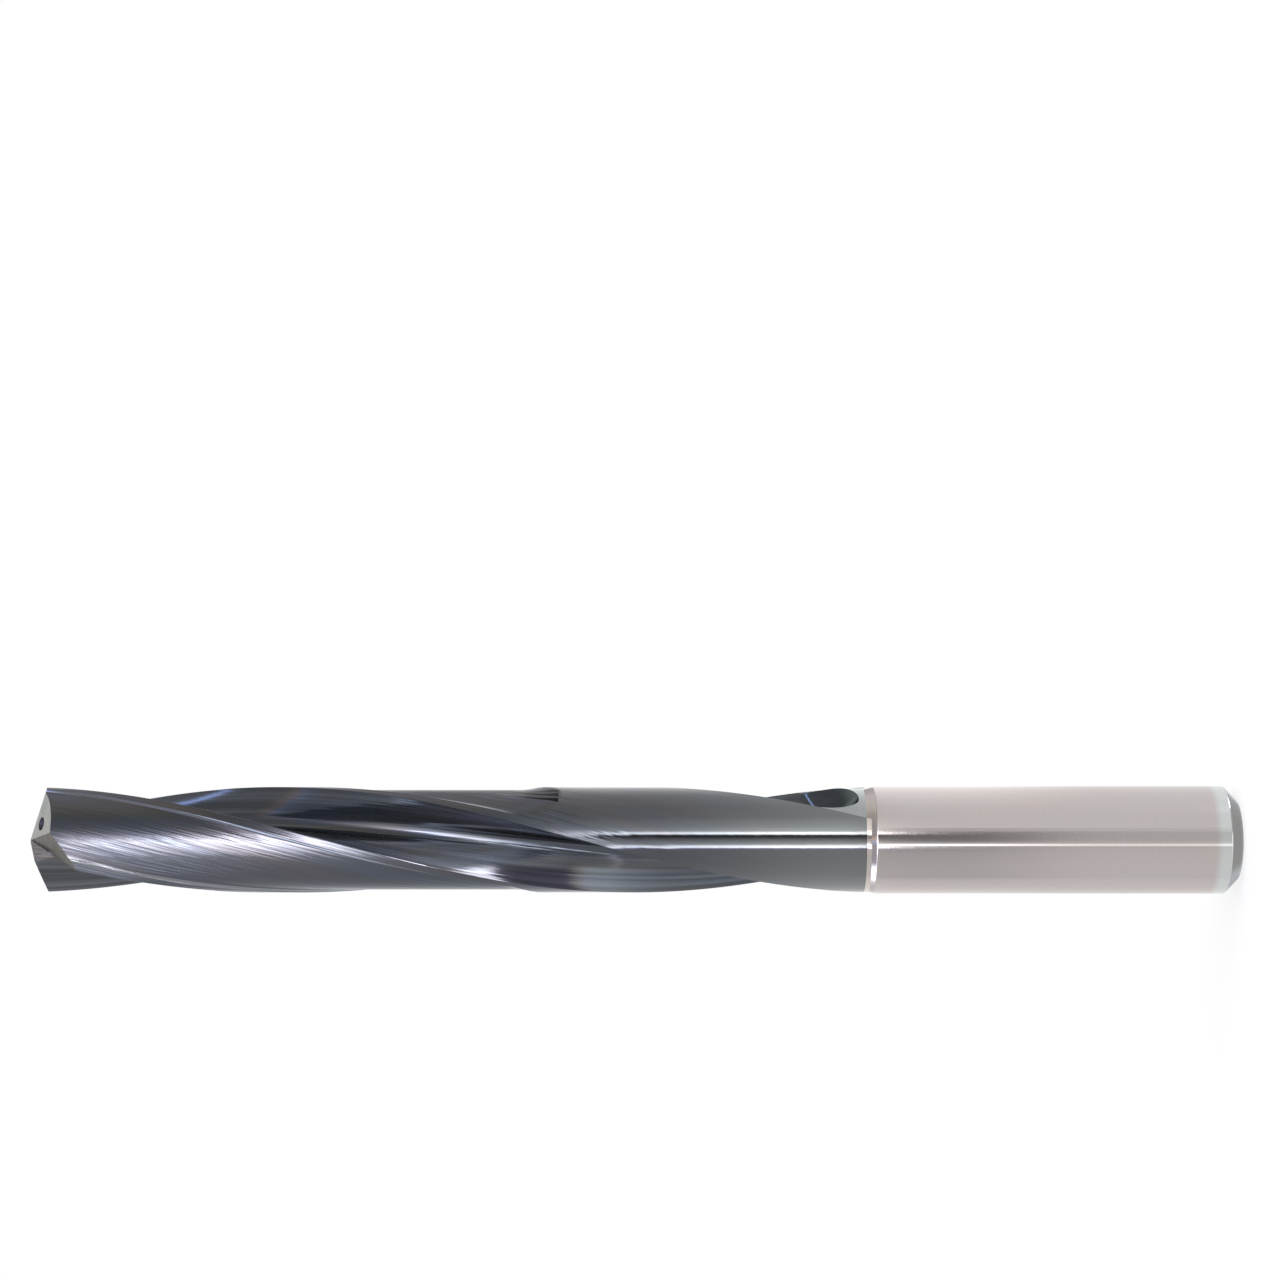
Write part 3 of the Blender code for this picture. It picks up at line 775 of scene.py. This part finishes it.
def makeShank():
    size = drill
    outer = size["shankRadius"]
    chamfer = size["shankChamfer"]
    hold = size["holdingLoop"]
    bury = size["neckLength"] / 2
    slope = (outer - size["neckRadius"]) / size["coneLength"]
    # Heights and radii of the rings, with a loop on each side of a rim to hold the shading there
    profile = (
        (chamfer - hold, outer - hold),
        (chamfer, outer),
        (chamfer + hold, outer),
        (size["shankLength"] - hold, outer),
        (size["shankLength"], outer),
        (size["shankLength"] + hold, outer - hold * slope),
        (coneTop + bury, size["neckRadius"] - bury * slope),
    )
    bm = bmesh.new()
    z, radius = 0.0, outer - chamfer
    bmesh.ops.create_circle(bm, segments=size["shankSides"], radius=radius, cap_ends=True)
    ring = list(bm.edges)
    rings = [ring]
    for newZ, newRadius in profile:
        made = bmesh.ops.extrude_edge_only(bm, edges=ring)["geom"]
        verts = [part for part in made if isinstance(part, bmesh.types.BMVert)]
        ring = [part for part in made if isinstance(part, bmesh.types.BMEdge) and part.is_boundary]
        bmesh.ops.scale(bm, verts=verts, vec=(newRadius / radius, newRadius / radius, 1))
        bmesh.ops.translate(bm, verts=verts, vec=(0, 0, newZ - z))
        rings.append(ring)
        z, radius = newZ, newRadius
    bmesh.ops.holes_fill(bm, edges=openEdges(bm))
    end, chamferRim, coneRim = rings[0], rings[2], rings[5]
    bmesh.ops.bevel(bm, geom=end + chamferRim + coneRim, offset=size["rimRounding"], affect="EDGES",
                    segments=2, profile=0.5, material=-1)
    bmesh.ops.recalc_face_normals(bm, faces=bm.faces)
    for face in bm.faces:
        z = face.calc_center_median().z
        if z > size["shankLength"] + size["rimRounding"]:
            face.material_index = shankSlots["cone"]
        elif z < chamfer - size["rimRounding"]:
            face.material_index = shankSlots["chamfer"]
    return meshFrom(bm, "shank")


body = makeBody()
for material in (landMaterial, fluteMaterial, facetMaterial, neckMaterial, coneMaterial):
    body.materials.append(material)
print("body swept", len(body.polygons))

drillObject = bpy.data.objects.new("groundDrill", body)
scene.collection.objects.link(drillObject)
cutters = []


def cutWith(mesh, materials, operation):
    for material in materials:
        mesh.materials.append(material)
    cutter = bpy.data.objects.new(mesh.name, mesh)
    scene.collection.objects.link(cutter)
    cutters.append(cutter)
    boolean = drillObject.modifiers.new(cutter.name, "BOOLEAN")
    boolean.operation = operation
    boolean.object = cutter
    boolean.material_mode = "TRANSFER"
    boolean.solver = "EXACT"


cutWith(makeShank(), (shankMaterial, coneMaterial, chamferMaterial), "UNION")
for half in range(2):
    cutWith(makeDuct(half), (ductMaterial,), "DIFFERENCE")
for name, pocket in pointPlanes()[1].items():
    for half in range(2):
        cutWith(makePocket(name, *pocket, half), (facetMaterial,), "DIFFERENCE")

graph = bpy.context.evaluated_depsgraph_get()
finished = bpy.data.meshes.new_from_object(drillObject.evaluated_get(graph))
drillObject.modifiers.clear()
drillObject.data = finished
for cutter in cutters:
    bpy.data.objects.remove(cutter)
finished.shade_smooth()
finished.set_sharp_from_angle(angle=drill["sharpFrom"])
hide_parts("drill")
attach(drillObject, "root")
print("drill cut", len(finished.polygons), [slot.name for slot in finished.materials])


floor = {
    "radius": 1.5,
    "sides": 96,
    "white": (0.93, 0.93, 0.93),
    "roughness": 0.9,
    "cameraWhite": 0.8,
    "whiteFrom": 0.12,
    "whiteTo": 0.45,
}
bm = bmesh.new()
bmesh.ops.create_circle(bm, segments=floor["sides"], radius=floor["radius"], cap_ends=True)
floorObject = bpy.data.objects.new("floor", meshFrom(bm, "floor"))
scene.collection.objects.link(floorObject)
floorMaterial, tree, shader, place = newMaterial("paleFloor", metallic=0.0)
shader.inputs["Base Color"].default_value = (*floor["white"], 1)
shader.inputs["Roughness"].default_value = floor["roughness"]
shader.inputs["Specular IOR Level"].default_value = 0.0
# The floor fades to plain white away from the drill, where no shadow falls
whiteness = smoothBetween(tree, vectorNode(tree, "LENGTH", place), floor["whiteFrom"], floor["whiteTo"],
                          least=floor["cameraWhite"])
seen = newNode(tree, "ShaderNodeLightPath").outputs["Is Camera Ray"]
glow = newNode(tree, "ShaderNodeEmission")
blend = newNode(tree, "ShaderNodeMixShader")
feed(tree, blend.inputs[0], mathNode(tree, "MULTIPLY", seen, whiteness))
feed(tree, blend.inputs[1], shader.outputs[0])
feed(tree, blend.inputs[2], glow.outputs[0])
feed(tree, tree.nodes["Material Output"].inputs["Surface"], blend.outputs[0])
floorObject.data.materials.append(floorMaterial)
floorObject.visible_glossy = False
print("floor laid")


# The studio round the drill, as light by the angle round its axis from the camera, upwards in the picture.
# The point's half, the lands behind it and the shank each mirror their own stretch of the studio.
# Each name that ends in Start, End, Calm, Width or Front holds where one light gives way to the next.
studio = {
    "point": [
        (-180, (0.90, 0.93, 0.97)), (-120, (0.74, 0.78, 0.84)), (-81, (0.72, 0.76, 0.84)),
        (-55, (0.85, 0.89, 0.98)), (-35, (1.4, 1.4, 1.5)), (-28, (4.6, 4.5, 5.0)), (-17, (6.0, 5.8, 6.4)),
        (-10, (9.6, 9.5, 10.0)), (-3, (13.0, 12.9, 13.4)), (4, (9.4, 9.2, 9.9)), (8, (2.6, 2.3, 3.0)),
        (17, (1.2, 1.15, 1.3)), (24, (0.62, 0.64, 0.72)), (45, (0.42, 0.46, 0.52)),
        (60, (0.52, 0.50, 0.43)), (75, (0.68, 0.64, 0.57)), (112, (0.75, 0.73, 0.78)),
        (142, (0.52, 0.52, 0.54)), (180, (0.90, 0.93, 0.97)),
    ],
    "land": [
        (-180, 1.2), (-120, 1.1), (-79, 0.80), (-50, 0.70), (-23, 0.66), (-18.4, (0.8, 0.7, 1.0)),
        (-17.8, (6.6, 6.2, 7.6)), (-16, 7.0), (-12.5, 4.2), (-10.5, 1.6), (-3, 0.9), (3, 0.35), (6, 0.12),
        (11, 0.10), (11.6, 6.8), (15, 6.4), (18, 2.0), (28, 1.3), (50, 0.82), (75, 0.80), (108, 1.05),
        (134, 1.4), (180, 1.3),
    ],
    "shank": [
        (-180, 1.2), (-118, 0.95), (-95, 0.86), (-88, 0.70), (-60, 0.70), (-30, 0.62), (-17, 0.5),
        (-13.4, (0.33, 0.30, 0.33)), (-12.6, (2.6, 2.5, 2.5)), (-9.6, 2.6), (-8.6, 0.8), (-5, 0.42),
        (-1, 0.25), (14, 0.22), (18, 0.42), (19, 0.8), (21, 0.62), (24, 0.66), (26, 1.0), (30, 0.92),
        (50, 0.93), (72, 0.97), (108, 1.2), (134, 1.35), (180, 1.4),
    ],
    "pointStart": (0.020, 0.050),
    "shankStart": (-0.0865, -0.0815),
    "shankCalm": (-0.165, -0.115),
    "calmShare": 0.65,
    "calmLight": (0.96, 0.96, 0.96),
    "tip": [
        (-180, 0.9), (-125, 0.8), (-104, (1.0, 1.0, 1.1)), (-94, (2.4, 2.4, 2.7)), (-60, (2.2, 2.3, 2.6)),
        (-40, (2.4, 2.4, 2.8)), (-17, (2.5, 2.4, 2.8)), (-3, (2.5, 2.4, 2.7)), (8, (1.8, 1.7, 2.0)),
        (17, 1.0), (24, (0.62, 0.64, 0.72)), (45, (0.42, 0.46, 0.52)), (60, (0.52, 0.50, 0.43)),
        (75, (0.68, 0.64, 0.57)), (112, (0.75, 0.73, 0.78)), (142, (0.52, 0.52, 0.54)), (180, 0.9),
    ],
    "tipStart": (0.17, 0.205),
    "stripEnd": (0.22, 0.30),
    "behindStart": (-0.1, 0.5),
    "highStart": (-0.05, 0.05),
    # Steeply along the drill, by the reach across it from -1, the picture's foot, to 1, its head
    "frontHigh": [
        (-1, (2.2, 2.4, 2.9)), (-0.86, (2.0, 2.2, 2.6)), (-0.76, (0.5, 0.52, 0.58)),
        (-0.5, (0.42, 0.44, 0.5)), (-0.2, (0.44, 0.44, 0.48)), (-0.08, (0.5, 0.62, 0.95)),
        (0.02, (0.85, 0.62, 0.5)), (0.1, (0.42, 0.42, 0.44)), (0.5, (0.42, 0.43, 0.45)),
        (0.8, (0.5, 0.48, 0.46)), (1, (0.8, 0.8, 0.8)),
    ],
    "behindHigh": [
        (-1, (1.6, 1.7, 2.0)), (-0.86, (1.4, 1.5, 1.7)), (-0.76, (0.54, 0.52, 0.5)),
        (-0.4, (0.62, 0.60, 0.57)), (0, (1.1, 1.12, 1.1)), (0.2, (1.5, 1.55, 1.5)), (1, (0.9, 0.9, 0.9)),
    ],
    "frontLow": [
        (-1, (0.85, 0.87, 0.9)), (-0.6, (0.95, 0.97, 1.0)), (-0.3, (1.3, 1.35, 1.4)),
        (-0.1, (1.7, 1.78, 1.8)), (0.12, (1.8, 1.85, 1.95)), (0.2, (1.5, 1.35, 1.2)),
        (0.3, (0.36, 0.31, 0.42)), (0.7, (0.28, 0.25, 0.34)), (0.82, (0.5, 0.46, 0.6)),
        (0.87, (9.0, 8.8, 9.8)), (0.93, (9.0, 8.8, 9.8)), (0.97, (2.0, 2.0, 2.3)),
    ],
    "behindLow": [
        (-1, (0.8, 0.8, 0.84)), (-0.6, (0.7, 0.7, 0.76)), (-0.4, (1.2, 1.22, 1.3)),
        (-0.25, (0.62, 0.64, 0.7)), (0, (0.8, 0.82, 0.86)), (0.2, (1.2, 1.24, 1.3)),
        (0.3, (0.7, 0.7, 0.76)), (0.6, (0.95, 0.97, 1.04)), (1, (0.8, 0.82, 0.86)),
    ],
    "under": (0.72, 0.73, 0.72),
    "underStart": (-0.7, -0.85),
    # A thin blue light that stands aslant, seen in the upper flute near the point
    "slant": 2.0,
    "slantPlace": 1.76,
    "slantWidth": (0.034, 0.0136),
    "slantFront": (-0.1, -0.35),
    "slantLight": (2.6, 3.3, 5.6),
    "backdrop": (1.0, 1.0, 1.0),
}
world = bpy.data.worlds.new("studio")
world.use_nodes = True
scene.world = world
tree = world.node_tree
tree.nodes.clear()
sideways, away, rise = splitNode(tree, newNode(tree, "ShaderNodeTexCoord").outputs["Generated"])


def studioShare(value, name):
    return smoothBetween(tree, value, *studio[name])


around = mathNode(tree, "ARCTAN2", sideways, mathNode(tree, "MULTIPLY", away, -1.0))
factor = mathNode(tree, "MULTIPLY_ADD", around, 1 / (2 * math.pi), 0.5)
pointLight, tipLight, landLight, shankLight = [
    rampNode(tree, factor, [((angle + 180) / 360, value) for angle, value in studio[name]])
    for name in ("point", "tip", "land", "shank")]
pointLight = mixColour(tree, studioShare(rise, "tipStart"), pointLight, tipLight)
calm = studioShare(rise, "shankCalm")
calm = mathNode(tree, "MULTIPLY_ADD", calm, -studio["calmShare"], studio["calmShare"])
shankLight = mixColour(tree, calm, shankLight, studio["calmLight"])
side = mixColour(tree, studioShare(rise, "shankStart"), shankLight, landLight)
side = mixColour(tree, studioShare(rise, "pointStart"), side, pointLight)

across = mathNode(tree, "MULTIPLY_ADD", sideways, 0.5, 0.5)
frontHigh, behindHigh, frontLow, behindLow = [
    rampNode(tree, across, [((place + 1) / 2, value) for place, value in studio[name]])
    for name in ("frontHigh", "behindHigh", "frontLow", "behindLow")]
backwards = studioShare(away, "behindStart")
high = mixColour(tree, backwards, frontHigh, behindHigh)
low = mixColour(tree, backwards, frontLow, behindLow)
plain = mixColour(tree, studioShare(rise, "highStart"), low, high)
plain = mixColour(tree, studioShare(rise, "underStart"), plain, studio["under"])

fromSlant = mathNode(tree, "SUBTRACT", sideways, studio["slantPlace"])
fromSlant = mathNode(tree, "ABSOLUTE", mathNode(tree, "MULTIPLY_ADD", rise, studio["slant"], fromSlant))
onSlant = mathNode(tree, "MULTIPLY", studioShare(fromSlant, "slantWidth"), studioShare(away, "slantFront"))
plain = mixColour(tree, onSlant, plain, studio["slantLight"])

steep = studioShare(mathNode(tree, "ABSOLUTE", rise), "stripEnd")
seenLight = mixColour(tree, steep, side, plain)
onCamera = newNode(tree, "ShaderNodeLightPath").outputs["Is Camera Ray"]
backdrop = mixColour(tree, onCamera, seenLight, studio["backdrop"])
background = newNode(tree, "ShaderNodeBackground")
feed(tree, background.inputs["Color"], backdrop)
output = newNode(tree, "ShaderNodeOutputWorld")
feed(tree, output.inputs["Surface"], background.outputs[0])

lamp = {"energy": 4.2, "size": 0.6, "place": (0.35, -0.25, 0.75)}
lampData = bpy.data.lights.new("softLamp", "AREA")
lampData.energy = lamp["energy"]
lampData.size = lamp["size"]
lampObject = bpy.data.objects.new("softLamp", lampData)
lampObject.location = lamp["place"]
lampObject.rotation_euler = (Vector(lamp["place"]) * -1).to_track_quat("-Z", "Y").to_euler()
lampObject.visible_glossy = False
scene.collection.objects.link(lampObject)
print("studio lit")


view = {
    "distance": 307 * mm,
    "height": 66.2 * mm,
    "tilt": math.radians(4.15),
    "lens": 77.4,
    "sensorWidth": 36.0,
    "clip": (0.01, 10.0),
}
cameraData = bpy.data.cameras.new("camera")
cameraData.lens = view["lens"]
cameraData.sensor_width = view["sensorWidth"]
cameraData.clip_start, cameraData.clip_end = view["clip"]
cameraObject = bpy.data.objects.new("camera", cameraData)
forward = Vector((math.sin(view["tilt"]), math.cos(view["tilt"]), 0))
up = Vector((math.cos(view["tilt"]), -math.sin(view["tilt"]), 0))
right = forward.cross(up)
cameraObject.matrix_world = Matrix.Translation((0, -view["distance"], view["height"])) @ Matrix(
    (right, up, -forward)).transposed().to_4x4()
scene.collection.objects.link(cameraObject)
scene.camera = cameraObject
print("camera placed")
